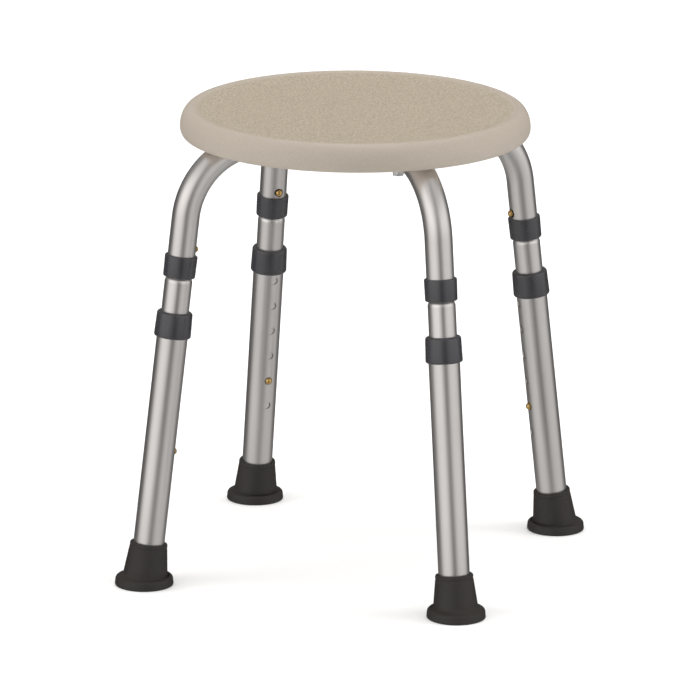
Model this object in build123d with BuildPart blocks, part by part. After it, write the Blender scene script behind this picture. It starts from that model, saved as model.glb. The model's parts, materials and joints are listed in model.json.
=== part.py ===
from build123d import *
import os
from math import cos, radians, sin

# Shower stool with a round hollow seat and four splayed telescopic legs.
# Millimetres. The origin is on the floor, midway between the feet, and +Z points up.
# "along" is a distance up a leg's axis from the point where that axis meets the floor.

# Legs
splay = 7.0
foot_radius = 213.4
leg_angles = {"front_left": 225, "front_right": 315, "rear_right": 45, "rear_left": 135}

# Seat
seat_radius = 161.0
seat_height = 430.0
seat_bottom = 405.0
seat_wall = 3.0
dish_depth = 2.8
dish_flat_radius = 112.0
grain_radius = 147.5
rim_crest_radius = 149.5
rim_widest_height = 412.0
rim_foot_radius = 157.0
rim_step = 1.0
vent_radius = 2.5
vent_place = 118.0

# Frame tubes
frame_radius = 12.7
tube_wall = 1.2
frame_height = 405.4
bend_radius = 71.0
frame_end_along = 292.6
squash_half_width = 17.6
squash_half_height = 6.3
squash_half_length = 20.0
squash_run = 46.0
squash_shift = 6.35
channel_clearance = 0.3
pocket_radius = 50.0
pocket_roof = 418.4

# Seat screws, washers and inserts
screw_place = 89.0
screw_radius = 3.0
screw_hole_radius = 3.3
screw_tip_height = 424.0
screw_seat_height = 391.2
screw_flange_radius = 6.5
screw_flange_height = 1.6
screw_hex_radius = 5.6
screw_hex_height = 5.0
saddle_radius = 7.0
centre_washer_radius = 9.0
insert_radius = 4.2
insert_base = 418.6
insert_top = 424.6
boss_radius = 9.0
boss_hole_top = 425.0

# Middle tubes and the upper collars
inner_end_along = 84.0
shoulder_along = 287.0
neck_along = 289.9
neck_top_along = 342.0
neck_radius = 11.1
upper_collar_along = (290.1, 310.6)
upper_collar_radius = 15.0
upper_collar_base_radius = 14.7
collar_clearance = 0.1
upper_collar_chamfer = 1.0

# Lower tubes and the lower collars
outer_radius = 14.3
outer_base_along = 10.5
outer_top_along = 255.9
lower_collar_along = (233.9, 257.9)
lower_collar_radius = 16.3
lower_collar_base_radius = 17.0
lower_collar_chamfer = 1.8

# Snap buttons and their spring clips
upper_button_along = 316.0
lower_button_along = 126.1
hole_pitch = 25.4
holes_above = 4
holes_below = 1
button_radius = 3.4
button_rise = 3.2
button_hole_radius = 3.8
frame_hole_radius = 4.5
rivet_radius = 1.6
rivet_head_radius = 2.4
rivet_head_height = 0.8
fit_gap = 0.05
clip_width = 7.0
clip_thickness = 0.8
clip_arm = 26.0
clip_tail = 9.0
upper_clip_half = 9.0
lower_clip_half = 10.6
clip_hole_radius = 1.8

# Rubber tips
tip_foot_radius = 27.1
tip_foot_taper = 5.8
tip_foot_height = 8.8
tip_root_radius = 20.0
tip_lip_radius = 17.4
tip_top_along = 39.9
tip_bead_along = 35.2
tip_bead_depth = 0.7
tip_bottom_along = 3.2
tip_root_along = 7.8
tip_edge = 2.0
tip_seat_along = 9.0
tip_washer_radius = 13.9
tip_washer_hole_radius = 6.0
grip_ring_radii = (19.0, 13.0, 7.0)
grip_ring_width = 2.4
grip_ring_depth = 1.4


def outward(angle):
    """Level direction from the stool's axis towards a leg."""
    return Vector(cos(radians(angle)), sin(radians(angle)), 0)


def leg_up(angle):
    """Direction up a leg's axis, which leans towards the stool's axis."""
    return outward(angle) * -sin(radians(splay)) + Vector(0, 0, cos(radians(splay)))


def leg_side(angle):
    """Direction square to a leg's axis, pointing away from the stool's axis."""
    return outward(angle) * cos(radians(splay)) + Vector(0, 0, sin(radians(splay)))


def leg_point(angle, along):
    return outward(angle) * foot_radius + leg_up(angle) * along


def leg_axis(angle):
    return Axis(leg_point(angle, 0), leg_up(angle))


def leg_section(angle):
    """Lengthwise section of a leg: x is the distance outwards from its axis, y is the distance along it."""
    return Plane(leg_point(angle, 0), x_dir=leg_side(angle), z_dir=leg_side(angle).cross(leg_up(angle)))


def button_section(angle, along):
    """Lengthwise section at a button: x runs out through the button, y runs up the leg."""
    inward = leg_side(angle) * -1
    return Plane(leg_point(angle, along), x_dir=inward, z_dir=inward.cross(leg_up(angle)))


def button_plane(angle, along):
    """Plane square to a button's axis, on the leg's axis."""
    return Plane(leg_point(angle, along), x_dir=leg_up(angle), z_dir=leg_side(angle) * -1)


def diagonal_section(angle):
    """Upright plane through the stool's axis and a leg: x is the radius, y is the height."""
    return Plane((0, 0, 0), x_dir=outward(angle), z_dir=outward(angle).cross(Vector(0, 0, 1)))


def diagonal_plane(angle, radius, height):
    """Plane across a diagonal at a radius: x is level, y is up."""
    middle = outward(angle) * radius + Vector(0, 0, height)
    return Plane(middle, x_dir=outward(angle + 90), z_dir=outward(angle))


def save(piece, name):
    piece.part.label = name
    export_step(piece.part, f"parts/{name}.step")


# Frame tubes


def bend_centre():
    """Radius and height of a bend's centre, from the level run and the leg's axis that it joins."""
    height = frame_height - bend_radius
    radius = foot_radius - (bend_radius + height * sin(radians(splay))) / cos(radians(splay))
    return radius, height


def frame_bar(angle, squash, grow):
    """Solid bar along one frame tube's route, its middle squashed flat and shifted by squash in height."""
    bend_x, bend_y = bend_centre()
    end_x = foot_radius - frame_end_along * sin(radians(splay))
    end_y = frame_end_along * cos(radians(splay))
    with BuildPart() as bar:
        for side in (angle, angle + 180):
            with BuildLine(diagonal_section(side)):
                Line((squash_run, frame_height), (bend_x, frame_height))
                bend = CenterArc((bend_x, bend_y), bend_radius, 90, splay - 90)
                Line(bend @ 1, (end_x, end_y))
            with BuildSketch(diagonal_plane(side, squash_run, frame_height)) as round_end:
                Circle(frame_radius + grow)
            sweep()
            with BuildSketch(diagonal_plane(side, squash_half_length, frame_height + squash)) as flat_end:
                Ellipse(squash_half_width + grow, squash_half_height + grow)
            loft(sections=[round_end.sketch, flat_end.sketch])
            extrude(amount=-squash_half_length)
    return bar


def make_cross_tube(angle, squash):
    """Inverted-U frame tube over the leg at angle and the leg opposite, with its screw and button holes."""
    outside = frame_bar(angle, squash, 0)
    inside = frame_bar(angle, squash, -tube_wall)
    with BuildPart() as tube:
        add(outside.part)
        add(inside.part, mode=Mode.SUBTRACT)
        for side in (angle, angle + 180):
            with BuildSketch(button_plane(side, upper_button_along)):
                Circle(frame_hole_radius)
            extrude(amount=2 * frame_radius, mode=Mode.SUBTRACT)
        with BuildSketch(Plane.XY.offset(seat_bottom - 2 * frame_radius)):
            with PolarLocations(screw_place, 2, angle):
                Circle(screw_hole_radius)
            Circle(screw_hole_radius)
        extrude(amount=4 * frame_radius, mode=Mode.SUBTRACT)
    return tube


# Seat


def make_seat_body(inset):
    """Solid turned seat, its outline moved inwards by inset."""
    dish_height = seat_height - dish_depth
    with BuildPart() as body:
        with BuildSketch(Plane.XZ):
            with BuildLine():
                dish = Line((0, dish_height - inset), (dish_flat_radius, dish_height - inset))
                edge = TangentArc(dish @ 1, (grain_radius, seat_height - rim_step - inset), tangent=dish % 1)
                Line(edge @ 1, (rim_crest_radius, seat_height - inset))
                EllipticalCenterArc(
                    (rim_crest_radius, rim_widest_height),
                    seat_radius - rim_crest_radius - inset,
                    seat_height - rim_widest_height - inset,
                    arc_size=90,
                )
                EllipticalCenterArc(
                    (rim_foot_radius, rim_widest_height),
                    seat_radius - rim_foot_radius - inset,
                    rim_widest_height - seat_bottom - inset,
                    start_angle=270,
                    arc_size=90,
                )
                Polyline(
                    (rim_foot_radius, seat_bottom + inset),
                    (0, seat_bottom + inset),
                    (0, dish_height - inset),
                )
            make_face()
        revolve(axis=Axis.Z)
    return body


def make_seat_recess(grow):
    """What the frame takes out of the seat from below: two tube channels and the crossing's round pocket."""
    first = frame_bar(leg_angles["front_left"], squash_shift, grow)
    second = frame_bar(leg_angles["front_right"], -squash_shift, grow)
    with BuildPart() as recess:
        add(first.part)
        add(second.part)
        with BuildSketch(Plane.XY.offset(seat_bottom - frame_radius)):
            Circle(pocket_radius + grow)
        extrude(amount=pocket_roof + grow - seat_bottom + frame_radius)
    return recess


def make_seat():
    """Hollow moulded seat with bosses for its inserts and a vent hole into the hollow."""
    body = make_seat_body(0)
    hollow = make_seat_body(seat_wall)
    recess = make_seat_recess(channel_clearance)
    recess_skin = make_seat_recess(channel_clearance + seat_wall)
    with BuildPart() as cavity:
        add(hollow.part)
        add(recess_skin.part, mode=Mode.SUBTRACT)
        with BuildSketch(Plane.XY.offset(seat_bottom)):
            with PolarLocations(screw_place, 4, 45):
                Circle(boss_radius)
            Circle(boss_radius)
        extrude(amount=seat_height - seat_bottom, mode=Mode.SUBTRACT)
    with BuildPart() as seat:
        add(body.part)
        add(recess.part, mode=Mode.SUBTRACT)
        add(cavity.part, mode=Mode.SUBTRACT)
        with BuildSketch(Plane.XY.offset(seat_bottom)):
            with PolarLocations(screw_place, 4, 45):
                Circle(insert_radius)
            Circle(insert_radius)
        extrude(amount=boss_hole_top - seat_bottom, mode=Mode.SUBTRACT)
        with BuildSketch(Plane.XY.offset(seat_bottom)):
            with Locations((0, -vent_place)):
                Circle(vent_radius)
        extrude(amount=2 * seat_wall, mode=Mode.SUBTRACT)
    return seat


# Seat screws, washers and inserts


def make_seat_screws():
    """Five hexagon flange screws: one near each bend and one through the crossing."""
    with BuildPart() as screws:
        with BuildSketch(Plane.XY.offset(screw_seat_height)) as shanks:
            with PolarLocations(screw_place, 4, 45):
                Circle(screw_radius)
            Circle(screw_radius)
        extrude(amount=screw_tip_height - screw_seat_height)
        with BuildSketch(Plane.XY.offset(screw_seat_height)) as flanges:
            with PolarLocations(screw_place, 4, 45):
                Circle(screw_flange_radius)
            Circle(screw_flange_radius)
        extrude(amount=-screw_flange_height)
        with BuildSketch(Plane.XY.offset(screw_seat_height - screw_flange_height)) as heads:
            with PolarLocations(screw_place, 4, 45):
                RegularPolygon(screw_hex_radius, 6)
            RegularPolygon(screw_hex_radius, 6)
        extrude(amount=-screw_hex_height)
    return screws


def make_saddle_washers():
    """Four washers, flat below and hollowed above to the round of the tubes."""
    with BuildPart() as saddles:
        with BuildSketch(Plane.XY.offset(screw_seat_height)):
            with PolarLocations(screw_place, 4, 45):
                Circle(saddle_radius)
                Circle(screw_hole_radius, mode=Mode.SUBTRACT)
        extrude(amount=frame_radius / 2)
        for angle in leg_angles.values():
            with BuildSketch(diagonal_plane(angle, 0, frame_height)):
                Circle(frame_radius)
            extrude(amount=2 * screw_place, mode=Mode.SUBTRACT)
    return saddles


def make_centre_washer():
    tube_bottom = frame_height - squash_shift - squash_half_height
    with BuildPart() as washer:
        with BuildSketch(Plane.XY.offset(screw_seat_height)):
            Circle(centre_washer_radius)
            Circle(screw_hole_radius, mode=Mode.SUBTRACT)
        extrude(amount=tube_bottom - screw_seat_height)
    return washer


def make_thread_inserts():
    with BuildPart() as inserts:
        with BuildSketch(Plane.XY.offset(insert_base)):
            with PolarLocations(screw_place, 4, 45):
                Circle(insert_radius)
                Circle(screw_radius, mode=Mode.SUBTRACT)
            Circle(insert_radius)
            Circle(screw_radius, mode=Mode.SUBTRACT)
        extrude(amount=insert_top - insert_base)
    return inserts


# Legs


def make_upper_collar(angle):
    """Guide collar pressed on a frame tube's end; the middle tube's neck slides in its lower lip."""
    base, top = upper_collar_along
    shoulder = upper_collar_chamfer
    with BuildPart() as collar:
        with BuildSketch(leg_section(angle)):
            with BuildLine():
                Polyline(
                    (neck_radius + collar_clearance, base),
                    (upper_collar_base_radius - shoulder, base),
                    (upper_collar_base_radius, base + shoulder),
                    (upper_collar_radius, top - shoulder),
                    (upper_collar_radius - shoulder, top),
                    (frame_radius, top),
                    (frame_radius, frame_end_along),
                    (neck_radius + collar_clearance, frame_end_along),
                    close=True,
                )
            make_face()
        revolve(axis=leg_axis(angle))
    return collar


def make_inner_tube(angle):
    """Middle leg tube with a swaged neck that goes up into the frame tube."""
    bore = frame_radius - tube_wall
    neck_bore = neck_radius - tube_wall
    with BuildPart() as tube:
        with BuildSketch(leg_section(angle)):
            with BuildLine():
                Polyline((bore, shoulder_along), (bore, inner_end_along), (frame_radius, inner_end_along))
                Line((frame_radius, inner_end_along), (frame_radius, shoulder_along))
                Spline((frame_radius, shoulder_along), (neck_radius, neck_along), tangents=[(0, 1), (0, 1)])
                Line((neck_radius, neck_along), (neck_radius, neck_top_along))
                Line((neck_radius, neck_top_along), (neck_bore, neck_top_along))
                Line((neck_bore, neck_top_along), (neck_bore, neck_along))
                Spline((neck_bore, neck_along), (bore, shoulder_along), tangents=[(0, -1), (0, -1)])
            make_face()
        revolve(axis=leg_axis(angle))
        for along in (upper_button_along, lower_button_along):
            with BuildSketch(button_plane(angle, along)):
                Circle(button_hole_radius)
            extrude(amount=2 * frame_radius, mode=Mode.SUBTRACT)
    return tube


def make_outer_tube(angle):
    """Lower leg tube with its row of height holes."""
    with BuildPart() as tube:
        with BuildSketch(leg_section(angle)):
            with Locations((outer_radius - tube_wall / 2, (outer_base_along + outer_top_along) / 2)):
                Rectangle(tube_wall, outer_top_along - outer_base_along)
        revolve(axis=leg_axis(angle))
        for step in range(-holes_below, holes_above + 1):
            with BuildSketch(button_plane(angle, lower_button_along + step * hole_pitch)):
                Circle(button_hole_radius)
            extrude(amount=2 * outer_radius, mode=Mode.SUBTRACT)
    return tube


def make_lower_collar(angle):
    """Guide collar on the top of a lower tube, with a lip over the tube's end."""
    base, top = lower_collar_along
    shoulder = lower_collar_chamfer
    with BuildPart() as collar:
        with BuildSketch(leg_section(angle)):
            with BuildLine():
                Polyline(
                    (outer_radius, base),
                    (lower_collar_base_radius - shoulder, base),
                    (lower_collar_base_radius, base + shoulder),
                    (lower_collar_radius, top - shoulder),
                    (lower_collar_radius - shoulder, top),
                    (frame_radius + collar_clearance, top),
                    (frame_radius + collar_clearance, outer_top_along),
                    (outer_radius, outer_top_along),
                    close=True,
                )
            make_face()
        revolve(axis=leg_axis(angle))
    return collar


def make_clip(angle, along, half_gap, bend_up):
    """Leaf spring bent into a U: one arm carries the button, the other rests on the opposite wall."""
    bend_y = clip_arm if bend_up else -clip_arm
    tail_y = -clip_tail if bend_up else clip_tail
    with BuildPart() as clip:
        with BuildSketch(button_section(angle, along)):
            with Locations((0, (bend_y + tail_y) / 2)):
                Rectangle(2 * half_gap, abs(bend_y - tail_y))
            with Locations((0, bend_y)):
                Circle(half_gap)
            with Locations((0, (bend_y + tail_y) / 2)):
                Rectangle(2 * (half_gap - clip_thickness), abs(bend_y - tail_y), mode=Mode.SUBTRACT)
            with Locations((0, bend_y)):
                Circle(half_gap - clip_thickness, mode=Mode.SUBTRACT)
        extrude(amount=clip_width / 2, both=True)
        with BuildSketch(button_plane(angle, along)):
            Circle(clip_hole_radius)
        extrude(amount=half_gap + clip_thickness, mode=Mode.SUBTRACT)
    return clip


def make_button(angle, along, half_gap, tube_radius):
    """Domed snap button with a rivet tail through the clip's arm."""
    dome_centre = tube_radius + button_rise - button_radius
    arm_inside = half_gap - clip_thickness - fit_gap
    with BuildPart() as button:
        with BuildSketch(button_section(angle, along)):
            with BuildLine():
                Polyline(
                    (dome_centre + button_radius, 0),
                    (arm_inside - rivet_head_height, 0),
                    (arm_inside - rivet_head_height, rivet_head_radius),
                    (arm_inside, rivet_head_radius),
                    (arm_inside, rivet_radius),
                    (half_gap + fit_gap, rivet_radius),
                    (half_gap + fit_gap, button_radius),
                    (dome_centre, button_radius),
                )
                CenterArc((dome_centre, 0), button_radius, 0, 90)
            make_face()
        revolve(axis=Axis(leg_point(angle, along), leg_side(angle) * -1))
    return button


def make_rubber_tip(angle):
    """Rubber foot: a level round pad with a leaning socket for the lower tube, and grip rings underneath."""
    with BuildPart() as tip:
        with BuildSketch(Plane(leg_point(angle, 0))):
            Circle(tip_foot_radius)
        extrude(amount=tip_foot_height, taper=tip_foot_taper)
        fillet(tip.edges().filter_by(GeomType.CIRCLE).sort_by(Axis.Z)[-1], tip_edge)
        with BuildSketch(leg_section(angle)):
            with BuildLine():
                Polyline(
                    (0, tip_bottom_along),
                    (tip_root_radius, tip_bottom_along),
                    (tip_root_radius, tip_root_along),
                    (tip_lip_radius, tip_bead_along),
                    (tip_lip_radius - tip_bead_depth, tip_bead_along + tip_bead_depth),
                    (tip_lip_radius, tip_bead_along + 2 * tip_bead_depth),
                    (tip_lip_radius, tip_top_along - tip_edge / 2),
                    (tip_lip_radius - tip_edge / 2, tip_top_along),
                    (0, tip_top_along),
                    close=True,
                )
            make_face()
        revolve(axis=leg_axis(angle))
        with BuildSketch(leg_section(angle)):
            with Locations((outer_radius / 2, (tip_seat_along + tip_top_along) / 2)):
                Rectangle(outer_radius, tip_top_along - tip_seat_along)
        revolve(axis=leg_axis(angle), mode=Mode.SUBTRACT)
        with BuildSketch(Plane(leg_point(angle, 0))):
            for radius in grip_ring_radii:
                Circle(radius + grip_ring_width / 2)
                Circle(radius - grip_ring_width / 2, mode=Mode.SUBTRACT)
        extrude(amount=grip_ring_depth, mode=Mode.SUBTRACT)
    return tip


def make_tip_washer(angle):
    seat_plane = Plane(leg_point(angle, tip_seat_along), x_dir=leg_side(angle), z_dir=leg_up(angle))
    with BuildPart() as washer:
        with BuildSketch(seat_plane):
            Circle(tip_washer_radius)
            Circle(tip_washer_hole_radius, mode=Mode.SUBTRACT)
        extrude(amount=outer_base_along - tip_seat_along)
    return washer


os.makedirs("parts", exist_ok=True)

save(make_seat(), "seat")
save(make_cross_tube(leg_angles["front_left"], squash_shift), "upper_cross_tube")
save(make_cross_tube(leg_angles["front_right"], -squash_shift), "lower_cross_tube")
save(make_seat_screws(), "seat_screws")
save(make_saddle_washers(), "saddle_washers")
save(make_centre_washer(), "centre_washer")
save(make_thread_inserts(), "thread_inserts")

for leg, angle in leg_angles.items():
    save(make_upper_collar(angle), f"{leg}_upper_collar")
    save(make_inner_tube(angle), f"{leg}_inner_tube")
    save(make_outer_tube(angle), f"{leg}_outer_tube")
    save(make_lower_collar(angle), f"{leg}_lower_collar")
    save(make_clip(angle, upper_button_along, upper_clip_half, False), f"{leg}_upper_clip")
    save(make_clip(angle, lower_button_along, lower_clip_half, True), f"{leg}_lower_clip")
    save(make_button(angle, upper_button_along, upper_clip_half, frame_radius), f"{leg}_upper_button")
    save(make_button(angle, lower_button_along, lower_clip_half, outer_radius), f"{leg}_lower_button")
    save(make_rubber_tip(angle), f"{leg}_rubber_tip")
    save(make_tip_washer(angle), f"{leg}_tip_washer")
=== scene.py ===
import json
from math import atan2, cos, pi, radians, sin, sqrt

import bmesh
import bpy
from mathutils import Matrix, Vector


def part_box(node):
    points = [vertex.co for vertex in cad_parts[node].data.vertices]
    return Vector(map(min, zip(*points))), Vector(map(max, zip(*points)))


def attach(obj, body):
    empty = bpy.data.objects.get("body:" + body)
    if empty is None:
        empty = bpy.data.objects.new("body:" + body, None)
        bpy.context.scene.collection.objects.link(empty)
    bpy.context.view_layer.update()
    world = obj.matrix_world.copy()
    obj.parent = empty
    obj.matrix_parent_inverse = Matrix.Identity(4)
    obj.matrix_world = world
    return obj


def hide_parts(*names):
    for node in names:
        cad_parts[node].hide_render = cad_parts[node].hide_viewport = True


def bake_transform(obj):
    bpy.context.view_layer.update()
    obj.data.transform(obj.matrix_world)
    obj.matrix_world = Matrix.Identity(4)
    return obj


# Shower stool. Sizes of the stool are in millimetres, and shapes are made in metres.
# "along" is a distance up a leg's axis from the floor. A clip's "half" is the distance
# from that axis to the outside of its arm.

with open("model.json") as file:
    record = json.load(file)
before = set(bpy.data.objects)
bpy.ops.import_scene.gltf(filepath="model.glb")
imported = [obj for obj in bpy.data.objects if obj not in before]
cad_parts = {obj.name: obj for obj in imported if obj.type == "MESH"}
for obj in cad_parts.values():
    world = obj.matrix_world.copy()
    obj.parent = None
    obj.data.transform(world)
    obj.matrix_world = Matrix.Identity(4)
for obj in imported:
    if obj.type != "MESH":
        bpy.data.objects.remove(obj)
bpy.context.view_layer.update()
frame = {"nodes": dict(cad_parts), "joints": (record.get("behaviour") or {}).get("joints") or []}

MM = 0.001
LEGS = ("front_left", "front_right", "rear_right", "rear_left")
SPLAY = radians(7.0)

# Frame tubes, which bend from the level run to the legs and are squashed where they cross
FOOT_RADIUS = 213.4
FRAME_RADIUS = 12.7
TUBE_WALL = 1.2
FRAME_HEIGHT = 405.4
BEND_RADIUS = 71.0
BEND_STEPS = 28
FRAME_END = 292.6
SQUASH_START = 46.0
SQUASH_END = 20.0
SQUASH_STEPS = 20
SQUASH_WIDE = 17.6
SQUASH_THIN = 6.3
SQUASH_SHIFT = 6.35
SCREW_PLACE = 89.0
SCREW_HOLE_RADIUS = 3.3
BUTTON_HOLE_RADIUS = 4.5
BUTTON_BAND = 14.0

# Seat
SEAT_TOP = 427.2
RIM_TOP = 430.0
SEAT_BOTTOM = 405.0
SEAT_RADIUS = 161.0
CHANNEL_GAP = 0.3
POCKET_RADIUS = 50.3
POCKET_TOP = 418.7
INSERT_RADIUS = 4.25
INSERT_TOP = 425.0
VENT_RADIUS = 2.5
VENT_PLACE = 118.0

# Middle and lower tubes of a leg
MIDDLE_RADIUS = 12.7
MIDDLE_BORE = 11.5
MIDDLE_START = 84.0
SHOULDER_START = 286.9
SHOULDER_END = 289.8
NECK_RADIUS = 11.1
NECK_BORE = 9.9
NECK_END = 342.0
LOWER_RADIUS = 14.3
LOWER_START = 10.5
LOWER_END = 255.9
HOLE_RADIUS = 3.8
HOLE_PITCH = 25.4
RING_GAP = 6.0

# Snap buttons and their spring clips
UPPER_BUTTON = 316.0
LOWER_BUTTON = 126.1
CROWN_HEIGHT = 3.2
UPPER_CLIP_HALF = 9.0
LOWER_CLIP_HALF = 10.6
CLIP_ARM = 26.0
CLIP_TAIL = 9.0
CLIP_WIDTH = 7.0
CLIP_THICKNESS = 0.8
RIVET_HOLE_RADIUS = 1.8
CLIP_STEPS = 20

# Screws
SCREW_TOP = 424.0
FLANGE_TOP = 391.2
HEAD_TOP = 389.5
HEAD_RADIUS = 5.6
HEAD_DEPTH = 4.9

# Rubber tips
TIP_HEIGHT = 39.9
TIP_BORE = 14.35
TIP_FLOOR = 9.0
GROOVE_DEPTH = 1.4
GROOVE_ROUNDING = 0.3
UPRIGHT_RADIUS = 24.0
LEANING_RADIUS = 20.6


# Shapes


def merge(shape):
    """Merges doubles and points every face outwards."""
    bmesh.ops.remove_doubles(shape, verts=shape.verts[:], dist=2e-6)
    bmesh.ops.recalc_face_normals(shape, faces=shape.faces[:])
    return shape


def spun(shape, steps):
    """Turns a section once round the Z axis."""
    bmesh.ops.spin(
        shape,
        geom=shape.verts[:] + shape.edges[:],
        cent=(0, 0, 0),
        axis=(0, 0, 1),
        angle=2 * pi,
        steps=steps,
        use_merge=True,
        use_duplicate=False,
    )
    return merge(shape)


def turned(corners, steps=112, closed=True):
    """Turned shape from the corners of its section, each a radius, a height and a rounding."""
    shape = bmesh.new()
    points = [shape.verts.new((radius * MM, 0, height * MM)) for radius, height, _ in corners]
    for start, end in zip(points, points[1:]):
        shape.edges.new((start, end))
    if closed:
        shape.edges.new((points[-1], points[0]))
    for point, (_, _, rounding) in zip(points, corners):
        if rounding:
            round_corner(shape, point, rounding, rounding)
    return spun(shape, steps)


def round_corner(shape, point, across, upright, segments=6):
    """Rounds one corner of a section, by across along its level line and upright along its other line."""
    stretch = Matrix.Diagonal((1, 1, across / upright, 1))
    bmesh.ops.transform(shape, matrix=stretch, verts=shape.verts[:])
    bmesh.ops.bevel(
        shape,
        geom=[point],
        offset=across * MM,
        offset_type="OFFSET",
        segments=segments,
        profile=0.5,
        affect="VERTICES",
        clamp_overlap=True,
        material=-1,
    )
    bmesh.ops.transform(shape, matrix=stretch.inverted(), verts=shape.verts[:])


def rod(radius, start, end, segments=40):
    """Closed cylinder up the Z axis from start to end."""
    shape = bmesh.new()
    place = Matrix.Translation((0, 0, (start + end) / 2 * MM))
    bmesh.ops.create_cone(
        shape,
        cap_ends=True,
        segments=segments,
        radius1=radius * MM,
        radius2=radius * MM,
        depth=(end - start) * MM,
        matrix=place,
    )
    return shape


def moved(shape, matrix):
    """Moves a whole shape, and gives it back."""
    bmesh.ops.transform(shape, matrix=matrix, verts=shape.verts[:])
    return shape


def as_object(shape, name):
    """Turns a shape into a mesh object at the origin."""
    mesh = bpy.data.meshes.new(name)
    shape.to_mesh(mesh)
    shape.free()
    thing = bpy.data.objects.new(name, mesh)
    bpy.context.scene.collection.objects.link(thing)
    return thing


def cut_away(shape, cutters, wall=0):
    """Gives a sheet its wall, then takes closed cutters out of it."""
    body = as_object(shape, "body")
    if wall:
        thicken = body.modifiers.new("wall", "SOLIDIFY")
        thicken.thickness = wall * MM
        thicken.offset = -1
        thicken.use_even_offset = True
    tools = []
    for cutter in cutters:
        bmesh.ops.recalc_face_normals(cutter, faces=cutter.faces[:])
        tools.append(as_object(cutter, "cutter"))
        cut = body.modifiers.new("cut", "BOOLEAN")
        cut.operation = "DIFFERENCE"
        cut.solver = "EXACT"
        cut.object = tools[-1]
    done = bmesh.new()
    graph = bpy.context.evaluated_depsgraph_get()
    mesh = bpy.data.meshes.new_from_object(body.evaluated_get(graph))
    done.from_mesh(mesh)
    bpy.data.meshes.remove(mesh)
    for thing in [body, *tools]:
        mesh = thing.data
        bpy.data.objects.remove(thing)
        bpy.data.meshes.remove(mesh)
    bmesh.ops.remove_doubles(done, verts=done.verts[:], dist=2e-6)
    return done


def finished(shape, name, body, material, nodes, sharp=38.0):
    """Makes the piece that stands for its nodes, smooth but for its sharp edges.

    A piece given no body is left unattached.
    """
    for face in shape.faces:
        face.smooth = True
    for edge in shape.edges:
        edge.smooth = len(edge.link_faces) != 2 or edge.calc_face_angle() < radians(sharp)
    piece = as_object(shape, name)
    piece.data.materials.append(material)
    if body:
        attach(piece, body)
    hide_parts(*nodes)
    return piece


def store_place(shape, place_of):
    """Stores each point's place in its own piece: two coordinates across its axis and one along it."""
    layer = shape.verts.layers.float_vector.new("own_place")
    for vert in shape.verts:
        vert[layer] = place_of(vert.co)


def eased(value, low, high):
    """Rises smoothly from 0 at low to 1 at high."""
    share = min(1, max(0, (value - low) / (high - low)))
    return share * share * (3 - 2 * share)


# Places


def leg_place(leg):
    """Matrix of a leg: Z runs up its axis from the floor, and X points away from the stool's middle."""
    low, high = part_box(f"{leg}_rubber_tip")
    foot = Vector(((low.x + high.x) / 2, (low.y + high.y) / 2, 0))
    joint = next(j for j in frame["joints"] if j["name"] == f"{leg}_height_slide")
    up = -Vector(joint["axis"]).normalized()
    side = (foot - up * foot.dot(up)).normalized()
    turn = Matrix((side, up.cross(side), up)).transposed().to_4x4()
    return Matrix.Translation(foot) @ turn


def diagonal_place(leg):
    """Matrix of the upright plane through a leg and the stool's axis: X is the radius."""
    low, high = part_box(f"{leg}_rubber_tip")
    angle = atan2(low.y + high.y, low.x + high.x)
    return Matrix.Rotation(angle, 4, "Z")


def screw_places():
    """Matrices of the seat's five screws: one near each bend, and one at the crossing."""
    out = Matrix.Translation((SCREW_PLACE * MM, 0, 0))
    return [diagonal_place(leg) @ out for leg in LEGS] + [Matrix.Identity(4)]


def towards_middle(along):
    """Matrix that lays a rod on a leg's inner side, at a height along it."""
    return Matrix.Translation((0, 0, along * MM)) @ Matrix.Rotation(-pi / 2, 4, "Y")


# Frame tubes


def extended(shape, ring, matrix, closed=True):
    """Draws a tube or a strip on from its open end, and returns the new end."""
    grown = bmesh.ops.extrude_edge_only(shape, edges=ring)["geom"]
    verts = [part for part in grown if isinstance(part, bmesh.types.BMVert)]
    bmesh.ops.transform(shape, matrix=matrix, verts=verts)
    edges = [part for part in grown if isinstance(part, bmesh.types.BMEdge)]
    if closed:
        return [edge for edge in edges if edge.is_boundary]
    return [edge for edge in edges if all(vert in verts for vert in edge.verts)]


def bend_middle():
    """Radius and height of the middle of the bend."""
    height = FRAME_HEIGHT - BEND_RADIUS
    return FOOT_RADIUS - (BEND_RADIUS + height * sin(SPLAY)) / cos(SPLAY), height


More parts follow.
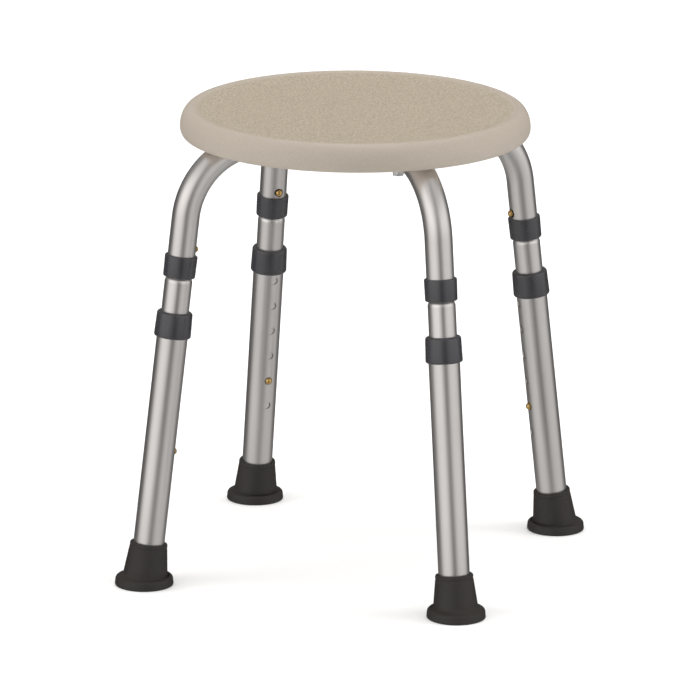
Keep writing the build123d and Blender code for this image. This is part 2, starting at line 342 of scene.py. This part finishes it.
def frame_bar(shift, grow=0.0, sides=96):
    """Tube skin over two opposite legs, squashed and shifted where it crosses the other one."""
    bend_x, bend_z = bend_middle()
    shape = bmesh.new()
    low_x = (FOOT_RADIUS - FRAME_END * sin(SPLAY)) * MM
    low_z = FRAME_END * cos(SPLAY) * MM
    end = Matrix.Translation((low_x, 0, low_z)) @ Matrix.Rotation(-SPLAY, 4, "Y")
    bmesh.ops.create_circle(
        shape, cap_ends=False, segments=sides, radius=(FRAME_RADIUS + grow) * MM, matrix=end
    )
    ring = shape.edges[:]
    bend_low = bend_z + BEND_RADIUS * sin(SPLAY)
    rise = (bend_low - FRAME_END * cos(SPLAY)) / cos(SPLAY)
    below = UPPER_BUTTON - FRAME_END - BUTTON_BAND / 2
    for part in (below, BUTTON_BAND, rise - BUTTON_BAND - below):
        step = Matrix.Translation((-part * sin(SPLAY) * MM, 0, part * cos(SPLAY) * MM))
        ring = extended(shape, ring, step)
    turn = Matrix.Rotation(-(pi / 2 - SPLAY) / BEND_STEPS, 4, "Y")
    middle = Matrix.Translation((bend_x * MM, 0, bend_z * MM))
    for _ in range(BEND_STEPS):
        ring = extended(shape, ring, middle @ turn @ middle.inverted())
    ring = extended(shape, ring, Matrix.Translation(((SQUASH_START - bend_x) * MM, 0, 0)))
    step = (SQUASH_END - SQUASH_START) / SQUASH_STEPS
    for _ in range(SQUASH_STEPS):
        ring = extended(shape, ring, Matrix.Translation((step * MM, 0, 0)))
    extended(shape, ring, Matrix.Translation((-SQUASH_END * MM, 0, 0)))
    whole = bmesh.ops.duplicate(shape, geom=shape.verts[:] + shape.edges[:] + shape.faces[:])
    verts = [part for part in whole["geom"] if isinstance(part, bmesh.types.BMVert)]
    bmesh.ops.transform(shape, matrix=Matrix.Rotation(pi, 4, "Z"), verts=verts)
    return squashed(merge(shape), shift)


def squashed(shape, shift):
    """Flattens the middle of a frame tube and moves it up or down past the other one."""
    for vert in shape.verts:
        share = eased(abs(vert.co.x) / MM, SQUASH_START, SQUASH_END)
        wide = 1 + share * (SQUASH_WIDE / FRAME_RADIUS - 1)
        thin = 1 + share * (SQUASH_THIN / FRAME_RADIUS - 1)
        vert.co.y *= wide
        vert.co.z = (FRAME_HEIGHT + share * shift) * MM + (vert.co.z - FRAME_HEIGHT * MM) * thin
    return shape


def cross_tube_place(point):
    """A point's place in its cross tube, worked out along the level run, the bend and the leg."""
    bend_x, bend_z = bend_middle()
    far, height = abs(point.x) / MM, point.z / MM
    side = 1 if point.x >= 0 else -1
    if far <= bend_x:
        return Vector((point.y, (height - FRAME_HEIGHT) * MM, side * far * MM))
    angle = atan2(far - bend_x, height - bend_z)
    if angle < pi / 2 - SPLAY:
        out = sqrt((far - bend_x) ** 2 + (height - bend_z) ** 2)
        return Vector((point.y, (out - BEND_RADIUS) * MM, side * (bend_x + BEND_RADIUS * angle) * MM))
    out = (far - bend_x) * cos(SPLAY) + (height - bend_z) * sin(SPLAY)
    down = (far - bend_x) * sin(SPLAY) - (height - bend_z) * cos(SPLAY)
    length = bend_x + BEND_RADIUS * (pi / 2 - SPLAY) + down
    return Vector((point.y, (out - BEND_RADIUS) * MM, side * length * MM))


def make_cross_tube(leg, shift, name):
    """Frame tube from a leg to the opposite one, with its button holes and screw holes."""
    across = diagonal_place(leg)
    holes = []
    for turn in (0, pi):
        side = Matrix.Rotation(turn, 4, "Z")
        local = side @ across.inverted() @ leg_place(leg)
        holes.append(moved(rod(BUTTON_HOLE_RADIUS, 2, 26), local @ towards_middle(UPPER_BUTTON)))
    for place in (-SCREW_PLACE, 0, SCREW_PLACE):
        holes.append(moved(rod(SCREW_HOLE_RADIUS, 380, 430), Matrix.Translation((place * MM, 0, 0))))
    shape = cut_away(frame_bar(shift), holes, TUBE_WALL)
    store_place(shape, cross_tube_place)
    moved(shape, across)
    finished(shape, name + "_drawn", "seat_frame", aluminium, [name])


# Seat


def make_seat():
    """Moulded seat: a shallow dish inside a rolled rim, cut out below for the tubes and screws."""
    shape = bmesh.new()
    section = (
        (0, SEAT_TOP),
        (129.75, SEAT_TOP),
        (147.5, 429.0),
        (149.5, RIM_TOP),
        (SEAT_RADIUS, RIM_TOP),
        (SEAT_RADIUS, SEAT_BOTTOM),
        (0, SEAT_BOTTOM),
    )
    points = [shape.verts.new((radius * MM, 0, height * MM)) for radius, height in section]
    for start, end in zip(points, points[1:] + points[:1]):
        shape.edges.new((start, end))
    _, dish, slope, lip, rim, edge, _ = points
    round_corner(shape, rim, across=11.4, upright=17.9, segments=16)
    round_corner(shape, edge, across=4.0, upright=7.0, segments=8)
    round_corner(shape, dish, across=17.7, upright=17.7, segments=8)
    round_corner(shape, slope, across=1.1, upright=1.1, segments=4)
    round_corner(shape, lip, across=1.1, upright=1.1, segments=4)
    shape = cut_away(spun(shape, 256), channel_cutters() + recess_cutters())
    finished(shape, "seat_moulded", "seat_frame", seat_plastic, ["seat"], 30.0)


def channel_cutters():
    """The two frame tubes, a little thicker, to cut their channels."""
    cutters = []
    for leg, shift in (("front_left", SQUASH_SHIFT), ("front_right", -SQUASH_SHIFT)):
        bar = frame_bar(shift, CHANNEL_GAP, 64)
        bmesh.ops.holes_fill(bar, edges=bar.edges[:], sides=0)
        cutters.append(moved(bar, diagonal_place(leg)))
    return cutters


def recess_cutters():
    """The pocket under the middle, the five insert holes and the vent hole."""
    pocket = rod(POCKET_RADIUS, 380, POCKET_TOP, 128)
    inserts = [moved(rod(INSERT_RADIUS, 390, INSERT_TOP), place) for place in screw_places()]
    vent = moved(rod(VENT_RADIUS, 400, 411), Matrix.Translation((0, -VENT_PLACE * MM, 0)))
    return [pocket, *inserts, vent]


def screw_shank():
    """Shank and flange of one screw."""
    section = (
        (0, SCREW_TOP, 0),
        (3.0, SCREW_TOP, 0.5),
        (3.0, FLANGE_TOP, 0),
        (6.5, FLANGE_TOP, 0.3),
        (6.5, 389.9, 0.5),
        (5.4, 389.4, 0),
        (0, 389.4, 0),
    )
    return turned(section, 40, False)


def screw_head():
    """Hexagon head of one screw, with eased edges and a dimple below."""
    head = bmesh.new()
    base = Matrix.Translation((0, 0, HEAD_TOP * MM))
    bmesh.ops.create_circle(head, cap_ends=True, segments=6, radius=HEAD_RADIUS * MM, matrix=base)
    grown = bmesh.ops.extrude_face_region(head, geom=head.faces[:])["geom"]
    verts = [part for part in grown if isinstance(part, bmesh.types.BMVert)]
    bmesh.ops.translate(head, vec=(0, 0, -HEAD_DEPTH * MM), verts=verts)
    bmesh.ops.recalc_face_normals(head, faces=head.faces[:])
    bmesh.ops.bevel(
        head,
        geom=head.edges[:],
        offset=0.45 * MM,
        offset_type="OFFSET",
        segments=3,
        profile=0.5,
        affect="EDGES",
        material=-1,
    )
    end = min(head.faces, key=lambda face: face.calc_center_median().z)
    bmesh.ops.inset_region(head, faces=[end], thickness=1.2 * MM, depth=0)
    bmesh.ops.inset_region(head, faces=[end], thickness=0.5 * MM, depth=-0.5 * MM)
    return head


def make_screws():
    """Five screws, each a shank, a flange and a hexagon head with a dimple."""
    whole = bmesh.new()
    for place in screw_places():
        add_to(whole, moved(screw_shank(), place))
        add_to(whole, moved(screw_head(), place))
    finished(whole, "seat_screws_plated", "seat_frame", plated_steel, ["seat_screws"])


def add_to(whole, part):
    """Adds a part's mesh to a larger one."""
    mesh = bpy.data.meshes.new("part")
    part.to_mesh(mesh)
    part.free()
    whole.from_mesh(mesh)
    bpy.data.meshes.remove(mesh)


# Legs


def ringed(start, end, places):
    """Heights of extra rings above and below each hole between start and end."""
    heights = [place + side * RING_GAP for place in places for side in (-1, 1)]
    return sorted(height for height in heights if start < height < end)


def wall_points(radius, heights):
    """Section points up one wall of a tube, with no rounding."""
    return [(radius, height, 0) for height in heights]


def make_leg_tube(leg, section, places, name, body, node):
    """Straight tube with a hole at each place on its inner side."""
    holes = [moved(rod(HOLE_RADIUS, 2, 20), towards_middle(along)) for along in places]
    shape = cut_away(turned(section, 96), holes)
    store_place(shape, lambda point: point)
    moved(shape, leg_place(leg))
    finished(shape, name, body, aluminium, [node])


def make_inner_tube(leg):
    """Middle tube, with a neck that goes up into the frame tube."""
    places = (UPPER_BUTTON, LOWER_BUTTON)
    lower = ringed(MIDDLE_START, SHOULDER_START, places)
    upper = ringed(SHOULDER_END, NECK_END, places)
    section = (
        [(MIDDLE_RADIUS, MIDDLE_START, 0.4)]
        + wall_points(MIDDLE_RADIUS, lower)
        + [(MIDDLE_RADIUS, SHOULDER_START, 1.6), (NECK_RADIUS, SHOULDER_END, 0.7)]
        + wall_points(NECK_RADIUS, upper)
        + [(NECK_RADIUS, NECK_END, 0.3), (NECK_BORE, NECK_END, 0.3)]
        + wall_points(NECK_BORE, reversed(upper))
        + [(NECK_BORE, SHOULDER_END, 0.7), (MIDDLE_BORE, SHOULDER_START, 1.6)]
        + wall_points(MIDDLE_BORE, reversed(lower))
        + [(MIDDLE_BORE, MIDDLE_START, 0.3)]
    )
    make_leg_tube(leg, section, places, f"{leg}_middle_tube", f"{leg}_leg", f"{leg}_inner_tube")


def make_outer_tube(leg):
    """Lower tube, with six height holes."""
    places = [LOWER_BUTTON + step * HOLE_PITCH for step in range(-1, 5)]
    heights = ringed(LOWER_START, LOWER_END, places)
    bore = LOWER_RADIUS - TUBE_WALL
    section = (
        [(LOWER_RADIUS, LOWER_START, 0.4)]
        + wall_points(LOWER_RADIUS, heights)
        + [(LOWER_RADIUS, LOWER_END, 0.4), (bore, LOWER_END, 0.3)]
        + wall_points(bore, reversed(heights))
        + [(bore, LOWER_START, 0.3)]
    )
    make_leg_tube(leg, section, places, f"{leg}_lower_tube", f"{leg}_foot", f"{leg}_outer_tube")


def make_collar(leg, section, name, body, node):
    """Plastic ring turned about a leg's axis."""
    shape = moved(turned(section), leg_place(leg))
    finished(shape, name, body, collar_plastic, [node])


def make_upper_collar(leg):
    """Collar on the end of the frame tube, with a lip under the tube's edge."""
    section = (
        (11.2, 290.1, 0.3),
        (14.7, 290.1, 1.2),
        (15.0, 310.6, 1.3),
        (12.75, 310.6, 0.4),
        (12.75, FRAME_END, 0),
        (11.2, FRAME_END, 0),
    )
    make_collar(leg, section, f"{leg}_guide_collar", "seat_frame", f"{leg}_upper_collar")


def make_lower_collar(leg):
    """Collar on the top end of the lower tube, round the middle tube."""
    section = (
        (14.32, 233.9, 0.3),
        (17.0, 233.9, 2.0),
        (16.3, 257.9, 2.6),
        (12.8, 257.9, 0.5),
        (12.8, 255.95, 0),
        (14.32, 255.95, 0),
    )
    make_collar(leg, section, f"{leg}_lock_collar", f"{leg}_foot", f"{leg}_lower_collar")


def make_button(leg, level, along, half, tube_radius):
    """Domed button on the leg's inner side, riveted through its clip's arm by its tail."""
    crown = tube_radius + CROWN_HEIGHT
    section = (
        (0, crown, 0),
        (3.4, crown, 3.3),
        (3.4, half + 0.05, 0.2),
        (1.6, half + 0.05, 0),
        (1.6, half - 0.85, 0),
        (2.4, half - 0.85, 0.2),
        (2.4, half - 1.65, 0.5),
        (0, half - 1.65, 0),
    )
    shape = turned(section, 48, False)
    store_place(shape, lambda point: point - Vector((0, 0, crown * MM)))
    moved(shape, leg_place(leg) @ towards_middle(along))
    finished(
        shape,
        f"{leg}_{level}_snap_button",
        f"{leg}_{level}_snap",
        brass,
        [f"{leg}_{level}_button"],
    )


def make_clip(leg, level, along, half, turn):
    """U-shaped leaf spring, with a rivet hole in its arm for the button's tail.

    Its fold is above the button when turn is 1, and below it when turn is -1.
    """
    tail = along - turn * CLIP_TAIL
    fold = along + turn * CLIP_ARM
    shape = bmesh.new()
    ends = [shape.verts.new((-half * MM, side * CLIP_WIDTH / 2 * MM, tail * MM)) for side in (-1, 1)]
    ring = [shape.edges.new(ends)]
    ring = extended(shape, ring, Matrix.Translation((0, 0, (fold - tail) * MM)), False)
    bend = Matrix.Rotation(turn * pi / CLIP_STEPS, 4, "Y")
    middle = Matrix.Translation((0, 0, fold * MM))
    for _ in range(CLIP_STEPS):
        ring = extended(shape, ring, middle @ bend @ middle.inverted(), False)
    extended(shape, ring, Matrix.Translation((0, 0, (tail - fold) * MM)), False)
    merge(shape)
    hole = moved(rod(RIVET_HOLE_RADIUS, half - 3, half + 3), towards_middle(along))
    shape = cut_away(shape, [hole], CLIP_THICKNESS)
    place = leg_place(leg)
    moved(shape, place)
    name = f"{leg}_{level}_clip"
    piece = finished(shape, f"{leg}_{level}_spring", None, spring_steel, [name])
    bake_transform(piece)


def make_tip(leg):
    """Rubber tip with grip rings below: turned upright, then its socket leans over to its leg."""
    section = [(0, 0, 0)]
    for inner, outer in ((5.8, 8.2), (11.8, 14.2), (17.8, 20.2)):
        corners = ((inner, 0), (inner, GROOVE_DEPTH), (outer, GROOVE_DEPTH), (outer, 0))
        section += [(radius, height, GROOVE_ROUNDING) for radius, height in corners]
    section += [
        (27.1, 0, 1.6),
        (26.2, 8.8, 2.8),
        (20.6, 8.8, 1.6),
        (17.5, 34.9, 0.3),
        (17.0, 35.9, 0.4),
        (17.4, 36.9, 0.3),
        (17.2, TIP_HEIGHT, 1.4),
        (TIP_BORE, TIP_HEIGHT, 0.5),
        (TIP_BORE, TIP_FLOOR, 0),
        (0, TIP_FLOOR, 0),
    ]
    shape = turned(section, 128, False)
    foot_place = Matrix.Translation(leg_place(leg).translation)
    lean = leg_place(leg) @ diagonal_place(leg).inverted()
    for vert in shape.verts:
        out = sqrt(vert.co.x ** 2 + vert.co.y ** 2) / MM
        share = eased(out, UPRIGHT_RADIUS, LEANING_RADIUS) if vert.co.z > 5 * MM else 0
        vert.co = (foot_place @ vert.co).lerp(lean @ vert.co, share)
    finished(shape, f"{leg}_tip", f"{leg}_foot", rubber, [f"{leg}_rubber_tip"])


# Finishes


def finish_named(name, colour, metal=0.0, roughness=0.5):
    """Starts a finish, and gives back its material, its nodes and its shader."""
    material = bpy.data.materials.new(name)
    material.use_nodes = True
    shader = material.node_tree.nodes["Principled BSDF"]
    shader.inputs["Base Color"].default_value = (*colour, 1)
    shader.inputs["Metallic"].default_value = metal
    shader.inputs["Roughness"].default_value = roughness
    return material, material.node_tree, shader


def add_node(tree, kind, settings=(), **inputs):
    """Adds a node; each input takes a value or another node's output."""
    node = tree.nodes.new("ShaderNode" + kind)
    for name, value in dict(settings).items():
        setattr(node, name, value)
    for name, value in inputs.items():
        key = int(name[1:]) if name[0] == "_" else name.replace("_", " ")
        if isinstance(value, bpy.types.NodeSocket):
            tree.links.new(value, node.inputs[key])
        else:
            node.inputs[key].default_value = value
    return node


def object_place(tree):
    """Each point's place in the stool, in metres."""
    return add_node(tree, "TexCoord").outputs["Object"]


def stretched(tree, vector, scale):
    """A place scaled by its own amount along each axis, so that a pattern runs in streaks."""
    return add_node(tree, "Mapping", {"vector_type": "POINT"}, Vector=vector, Scale=scale).outputs[0]


def maths(tree, operation, first, second):
    """One sum or product of two values, each a number or an output."""
    return add_node(tree, "Math", {"operation": operation}, _0=first, _1=second).outputs[0]


def ramp(tree, value, low, high, start=0.0, end=1.0):
    """Maps a value from between low and high to between start and end, smoothly."""
    settings = {"interpolation_type": "SMOOTHSTEP"}
    node = add_node(tree, "MapRange", settings, Value=value, From_Min=low, From_Max=high)
    node.inputs["To Min"].default_value = start
    node.inputs["To Max"].default_value = end
    return node.outputs[0]


def noise(tree, vector, scale, detail=3.0, roughness=0.55):
    """Cloudy pattern; a larger scale gives a finer one."""
    return add_node(
        tree, "TexNoise", Vector=vector, Scale=scale, Detail=detail, Roughness=roughness
    ).outputs["Fac"]


def colours(tree, amount, first, second):
    """Mixes two colours, each given as numbers or as an output."""
    first = (*first, 1) if isinstance(first, tuple) else first
    second = (*second, 1) if isinstance(second, tuple) else second
    return add_node(tree, "Mix", {"data_type": "RGBA"}, _0=amount, _6=first, _7=second).outputs[2]


def bumps(tree, height, distance, strength=1.0, under=None):
    """Fine relief, over the relief under it if there is one."""
    node = add_node(tree, "Bump", Height=height, Distance=distance, Strength=strength)
    if under:
        tree.links.new(under, node.inputs["Normal"])
    return node.outputs[0]


def make_seat_plastic():
    material, tree, shader = finish_named("moulded seat plastic", (0.42, 0.36, 0.28), 0, 0.5)
    place = object_place(tree)
    parts = add_node(tree, "SeparateXYZ", Vector=place).outputs
    level = add_node(tree, "CombineXYZ", X=parts["X"], Y=parts["Y"]).outputs[0]
    radius = add_node(tree, "VectorMath", {"operation": "LENGTH"}, _0=level).outputs["Value"]
    inner = ramp(tree, radius, 0.141, 0.1495, 1, 0)
    top = ramp(tree, parts["Z"], 0.4264, 0.4268)
    field = maths(tree, "MULTIPLY", inner, top)

    wander = add_node(tree, "TexNoise", Vector=place, Scale=260, Detail=2).outputs["Color"]
    shifted = add_node(
        tree, "VectorMath", {"operation": "MULTIPLY_ADD"}, _0=wander, _1=(0.0016, 0.0016, 0.0016), _2=place
    ).outputs[0]
    pebbles = add_node(
        tree, "TexVoronoi", {"feature": "SMOOTH_F1"}, Vector=shifted, Scale=490, Smoothness=0.4
    ).outputs["Distance"]
    pebble = ramp(tree, pebbles, 0.1, 0.75, 1, 0)
    fine = noise(tree, place, 2600, 2)
    cloud = noise(tree, place, 26, 4)
    tone = noise(tree, place, 900, 3)

    grained = colours(tree, pebble, (0.322, 0.275, 0.21), (0.46, 0.397, 0.308))
    smooth = colours(tree, cloud, (0.39, 0.338, 0.282), (0.418, 0.365, 0.308))
    base = colours(tree, field, smooth, grained)
    shade = ramp(tree, tone, 0.3, 0.7, 0.94, 1.05)
    base = add_node(tree, "VectorMath", {"operation": "SCALE"}, _0=base, Scale=shade).outputs[0]
    tree.links.new(base, shader.inputs["Base Color"])

    gloss = ramp(tree, cloud, 0.3, 0.7, 0.4, 0.5)
    rough = add_node(tree, "Mix", {"data_type": "FLOAT"}, _0=field, _2=gloss, _3=0.62).outputs[0]
    tree.links.new(rough, shader.inputs["Roughness"])
    shader.inputs["IOR"].default_value = 1.48

    grain = maths(tree, "MULTIPLY", pebble, field)
    ripple = bumps(tree, noise(tree, place, 60, 2), 0.00035, 0.5)
    skin = bumps(tree, fine, 0.00004, 0.35, ripple)
    relief = bumps(tree, grain, 0.0004, 1.0, skin)
    tree.links.new(relief, shader.inputs["Normal"])
    return material


def make_aluminium():
    material, tree, shader = finish_named("satin anodised aluminium", (0.8, 0.79, 0.78), 1, 0.33)
    place = add_node(tree, "Attribute", {"attribute_name": "own_place"}).outputs["Vector"]
    lines = noise(tree, stretched(tree, place, (1500, 1500, 14)), 1, 3, 0.6)
    coarse = noise(tree, stretched(tree, place, (240, 240, 5)), 1, 3)
    cloud = noise(tree, stretched(tree, place, (30, 30, 9)), 1, 3)
    scuff = noise(tree, stretched(tree, place, (260, 260, 90)), 1, 5, 0.7)
    marks = ramp(tree, scuff, 0.66, 0.76)
    base = colours(tree, ramp(tree, cloud, 0.3, 0.7), (0.8, 0.772, 0.752), (0.84, 0.815, 0.8))
    base = colours(tree, maths(tree, "MULTIPLY", marks, 0.25), base, (0.66, 0.65, 0.64))
    tree.links.new(base, shader.inputs["Base Color"])
    dulled = maths(tree, "MULTIPLY", marks, 0.08)
    rough = maths(tree, "ADD", ramp(tree, coarse, 0.25, 0.75, 0.3, 0.37), dulled)
    tree.links.new(rough, shader.inputs["Roughness"])
    relief = bumps(tree, lines, 0.00003, 0.35)
    relief = bumps(tree, coarse, 0.00006, 0.25, relief)
    tree.links.new(relief, shader.inputs["Normal"])
    return material


def make_collar_plastic():
    material, tree, shader = finish_named("charcoal collar plastic", (0.06, 0.062, 0.07), 0, 0.42)
    place = object_place(tree)
    cloud = noise(tree, place, 55, 4)
    fine = noise(tree, place, 1500, 3)
    # Convex edges are made lighter: partly edge wear, and partly a painted highlight where the edges catch
    # the light.
    painted_light_and_wear = ramp(tree, add_node(tree, "NewGeometry").outputs["Pointiness"], 0.52, 0.6)
    base = colours(tree, cloud, (0.028, 0.027, 0.031), (0.038, 0.0365, 0.0415))
    base = colours(tree, maths(tree, "MULTIPLY", painted_light_and_wear, 0.35), base, (0.11, 0.11, 0.115))
    tree.links.new(base, shader.inputs["Base Color"])
    tree.links.new(ramp(tree, cloud, 0.3, 0.7, 0.2, 0.28), shader.inputs["Roughness"])
    shader.inputs["IOR"].default_value = 1.72
    tree.links.new(bumps(tree, fine, 0.00003, 0.3), shader.inputs["Normal"])
    return material


def make_rubber():
    material, tree, shader = finish_named("moulded rubber", (0.03, 0.026, 0.024), 0, 0.6)
    place = object_place(tree)
    cloud = noise(tree, place, 45, 5)
    fine = noise(tree, place, 1100, 3)
    height = add_node(tree, "SeparateXYZ", Vector=place).outputs["Z"]
    dust = maths(tree, "MULTIPLY", ramp(tree, height, 0.001, 0.009, 1, 0), ramp(tree, cloud, 0.4, 0.75))
    base = colours(tree, cloud, (0.017, 0.014, 0.0125), (0.027, 0.0225, 0.0205))
    base = colours(tree, maths(tree, "MULTIPLY", dust, 0.2), base, (0.06, 0.054, 0.048))
    tree.links.new(base, shader.inputs["Base Color"])
    tree.links.new(ramp(tree, cloud, 0.25, 0.75, 0.5, 0.68), shader.inputs["Roughness"])
    relief = bumps(tree, noise(tree, place, 130, 3), 0.0002, 0.35)
    relief = bumps(tree, fine, 0.00006, 0.5, relief)
    tree.links.new(relief, shader.inputs["Normal"])
    return material


def make_metal(name, dark, light, low, high):
    """Metal finish between two colours and two roughnesses, with a faint grain."""
    material, tree, shader = finish_named(name, light, 1, (low + high) / 2)
    place = object_place(tree)
    cloud = noise(tree, place, 420, 4)
    base = colours(tree, ramp(tree, cloud, 0.3, 0.7), dark, light)
    tree.links.new(base, shader.inputs["Base Color"])
    tree.links.new(ramp(tree, cloud, 0.3, 0.7, high, low), shader.inputs["Roughness"])
    tree.links.new(bumps(tree, noise(tree, place, 1700, 2), 0.00003, 0.3), shader.inputs["Normal"])
    return material


def make_button_brass():
    """Polished on the crown; round the shank, inside its hole, rougher where it rubs and darker with
    painted shade.
    """
    material, tree, shader = finish_named("polished brass", (0.74, 0.55, 0.25), 1, 0.22)
    place = add_node(tree, "Attribute", {"attribute_name": "own_place"}).outputs["Vector"]
    depth = add_node(tree, "SeparateXYZ", Vector=place).outputs["Z"]
    cloud = noise(tree, place, 420, 4)
    # Below the crown, inside the hole: painted shade darkens the colour, and the roughness rises where the
    # shank rubs.
    painted_light_and_wear = ramp(tree, depth, -0.0034, -0.0021, 1, 0)  # below the crown, inside the hole
    base = colours(tree, ramp(tree, cloud, 0.3, 0.7), (0.62, 0.39, 0.13), (0.84, 0.58, 0.25))
    base = colours(tree, painted_light_and_wear, base, (0.13, 0.08, 0.025))
    tree.links.new(base, shader.inputs["Base Color"])
    rough = maths(tree, "ADD", ramp(tree, cloud, 0.3, 0.7, 0.26, 0.16), maths(tree, "MULTIPLY", painted_light_and_wear, 0.25))
    tree.links.new(rough, shader.inputs["Roughness"])
    tree.links.new(bumps(tree, noise(tree, place, 1700, 2), 0.00003, 0.3), shader.inputs["Normal"])
    return material


seat_plastic = make_seat_plastic()
aluminium = make_aluminium()
collar_plastic = make_collar_plastic()
rubber = make_rubber()
brass = make_button_brass()
insert_brass = make_metal("turned brass", (0.55, 0.4, 0.18), (0.72, 0.55, 0.28), 0.3, 0.42)
spring_steel = make_metal("spring steel", (0.36, 0.36, 0.37), (0.5, 0.5, 0.51), 0.28, 0.4)
plated_steel = make_metal("zinc plated steel", (0.52, 0.52, 0.51), (0.68, 0.68, 0.66), 0.26, 0.4)

# Pieces

make_seat()
make_screws()
make_cross_tube("front_left", SQUASH_SHIFT, "upper_cross_tube")
make_cross_tube("front_right", -SQUASH_SHIFT, "lower_cross_tube")
for leg in LEGS:
    make_upper_collar(leg)
    make_inner_tube(leg)
    make_outer_tube(leg)
    make_lower_collar(leg)
    make_button(leg, "upper", UPPER_BUTTON, UPPER_CLIP_HALF, FRAME_RADIUS)
    make_button(leg, "lower", LOWER_BUTTON, LOWER_CLIP_HALF, LOWER_RADIUS)
    make_clip(leg, "upper", UPPER_BUTTON, UPPER_CLIP_HALF, -1)
    make_clip(leg, "lower", LOWER_BUTTON, LOWER_CLIP_HALF, 1)
    make_tip(leg)

# The washers and the inserts keep their own shape and only take a finish
kept_finishes = {
    "saddle_washers": plated_steel,
    "centre_washer": plated_steel,
    "thread_inserts": insert_brass,
}
for leg in LEGS:
    kept_finishes[f"{leg}_tip_washer"] = plated_steel
for name, material in kept_finishes.items():
    mesh = frame["nodes"][name].data
    mesh.materials.clear()
    mesh.materials.append(material)

# Floor, light and camera

CAMERA = Vector((2.01479, -5.89660, 1.86493))
AIM = Vector((-0.003446, -0.001180, 0.198645))
LENS = 358.42
CAMERA_ROLL = 0.0059
FLOOR_RADIUS = 9.0
TOWARDS = Vector((CAMERA.x - AIM.x, CAMERA.y - AIM.y, 0)).normalized()
RIGHT = Vector((-TOWARDS.y, TOWARDS.x, 0))


def make_floor():
    """Pale floor that glows a little more with distance, so that it stays even towards the horizon."""
    shape = bmesh.new()
    bmesh.ops.create_circle(shape, cap_ends=True, segments=96, radius=FLOOR_RADIUS)
    floor = as_object(shape, "floor")
    material, tree, shader = finish_named("pale studio floor", (0.9, 0.9, 0.9), 0, 0.9)
    shader.inputs["Specular IOR Level"].default_value = 0.0
    shader.inputs["Emission Color"].default_value = (1, 1, 1, 1)
    place = object_place(tree)
    far = add_node(tree, "VectorMath", {"operation": "LENGTH"}, _0=place).outputs["Value"]
    tree.links.new(ramp(tree, far, 0.8, 6.0, 0.12, 0.8), shader.inputs["Emission Strength"])
    tint = colours(tree, noise(tree, place, 3, 3), (0.895, 0.895, 0.895), (0.91, 0.91, 0.91))
    tree.links.new(tint, shader.inputs["Base Color"])
    floor.data.materials.append(material)
    floor.visible_glossy = False


def round_from_camera(angle):
    """Level direction at an angle from the camera's side, positive to the right."""
    return TOWARDS * cos(radians(angle)) + RIGHT * sin(radians(angle))


def add_light(name, angle, distance, height, size, power, aim_height=0.25):
    """Soft box at an angle from the camera's side, turned to a point over the origin."""
    lamp = bpy.data.lights.new(name, "AREA")
    lamp.shape = "RECTANGLE"
    lamp.size, lamp.size_y = size
    lamp.energy = power
    thing = bpy.data.objects.new(name, lamp)
    thing.location = round_from_camera(angle) * distance + Vector((0, 0, height))
    aim = Vector((0, 0, aim_height)) - thing.location
    thing.rotation_euler = aim.to_track_quat("-Z", "Y").to_euler()
    thing.visible_glossy = False
    bpy.context.scene.collection.objects.link(thing)


def make_surroundings():
    """Soft light from all round: pale to either side of the camera, and dimmer in front and behind."""
    world = bpy.data.worlds.new("studio")
    bpy.context.scene.world = world
    world.use_nodes = True
    world.cycles.sampling_method = "NONE"
    tree = world.node_tree
    tree.nodes.clear()
    way = add_node(tree, "TexCoord").outputs["Generated"]
    parts = add_node(tree, "SeparateXYZ", Vector=way).outputs
    level = add_node(tree, "CombineXYZ", X=parts["X"], Y=parts["Y"]).outputs[0]
    level = add_node(tree, "VectorMath", {"operation": "NORMALIZE"}, _0=level).outputs[0]
    # A soft light all round, dimmest at the height of the horizon
    total = ramp(tree, parts["Z"], -0.6, -0.22, 0.3, 0.07)
    total = maths(tree, "ADD", total, ramp(tree, parts["Z"], -0.15, 0.6, 0, 0.2))
    # Two upright bands, each with the angle of its middle, its inner and outer half widths and its power
    rising = ramp(tree, parts["Z"], -0.75, 0.2, 0.3, 1.5)
    rising = maths(tree, "MULTIPLY", rising, ramp(tree, parts["Z"], 0.35, 0.75, 1, 0.4))
    for angle, inner, outer, power in ((-50, 8, 56, 0.64), (66, 16, 58, 0.5)):
        side = round_from_camera(angle)
        dot = add_node(tree, "VectorMath", {"operation": "DOT_PRODUCT"}, _0=level, _1=tuple(side))
        band = ramp(tree, dot.outputs["Value"], cos(radians(outer)), cos(radians(inner)), 0, power)
        total = maths(tree, "ADD", maths(tree, "MULTIPLY", band, rising), total)
    light = add_node(tree, "Background", Color=(1, 0.99, 0.975, 1), Strength=total)
    plain = add_node(tree, "Background", Color=(0.93, 0.93, 0.93, 1), Strength=1.0)
    seen = add_node(tree, "LightPath").outputs["Is Camera Ray"]
    both = add_node(tree, "MixShader", _0=seen, _1=light.outputs[0], _2=plain.outputs[0])
    end = tree.nodes.new("ShaderNodeOutputWorld")
    tree.links.new(both.outputs[0], end.inputs["Surface"])


def make_camera():
    """Camera with a long lens, in front of the stool and looking down on it."""
    data = bpy.data.cameras.new("camera")
    data.sensor_width = 36
    data.lens = LENS
    data.clip_end = 100
    camera = bpy.data.objects.new("camera", data)
    camera.location = CAMERA
    turn = (AIM - CAMERA).to_track_quat("-Z", "Y").to_matrix().to_4x4()
    camera.matrix_world = Matrix.Translation(CAMERA) @ turn @ Matrix.Rotation(CAMERA_ROLL, 4, "Z")
    bpy.context.scene.collection.objects.link(camera)
    bpy.context.scene.camera = camera


make_floor()
make_surroundings()
add_light(
    "overhead soft box", angle=180, distance=0.6, height=3.6, size=(4.6, 4.6), power=128, aim_height=0.0
)
for side, angle, power in (("left", -78, 36), ("right", 88, 42)):
    add_light(side + " soft box", angle, distance=3.3, height=1.6, size=(1.6, 2.6), power=power)
make_camera()
bpy.context.scene.view_settings.view_transform = "Standard"
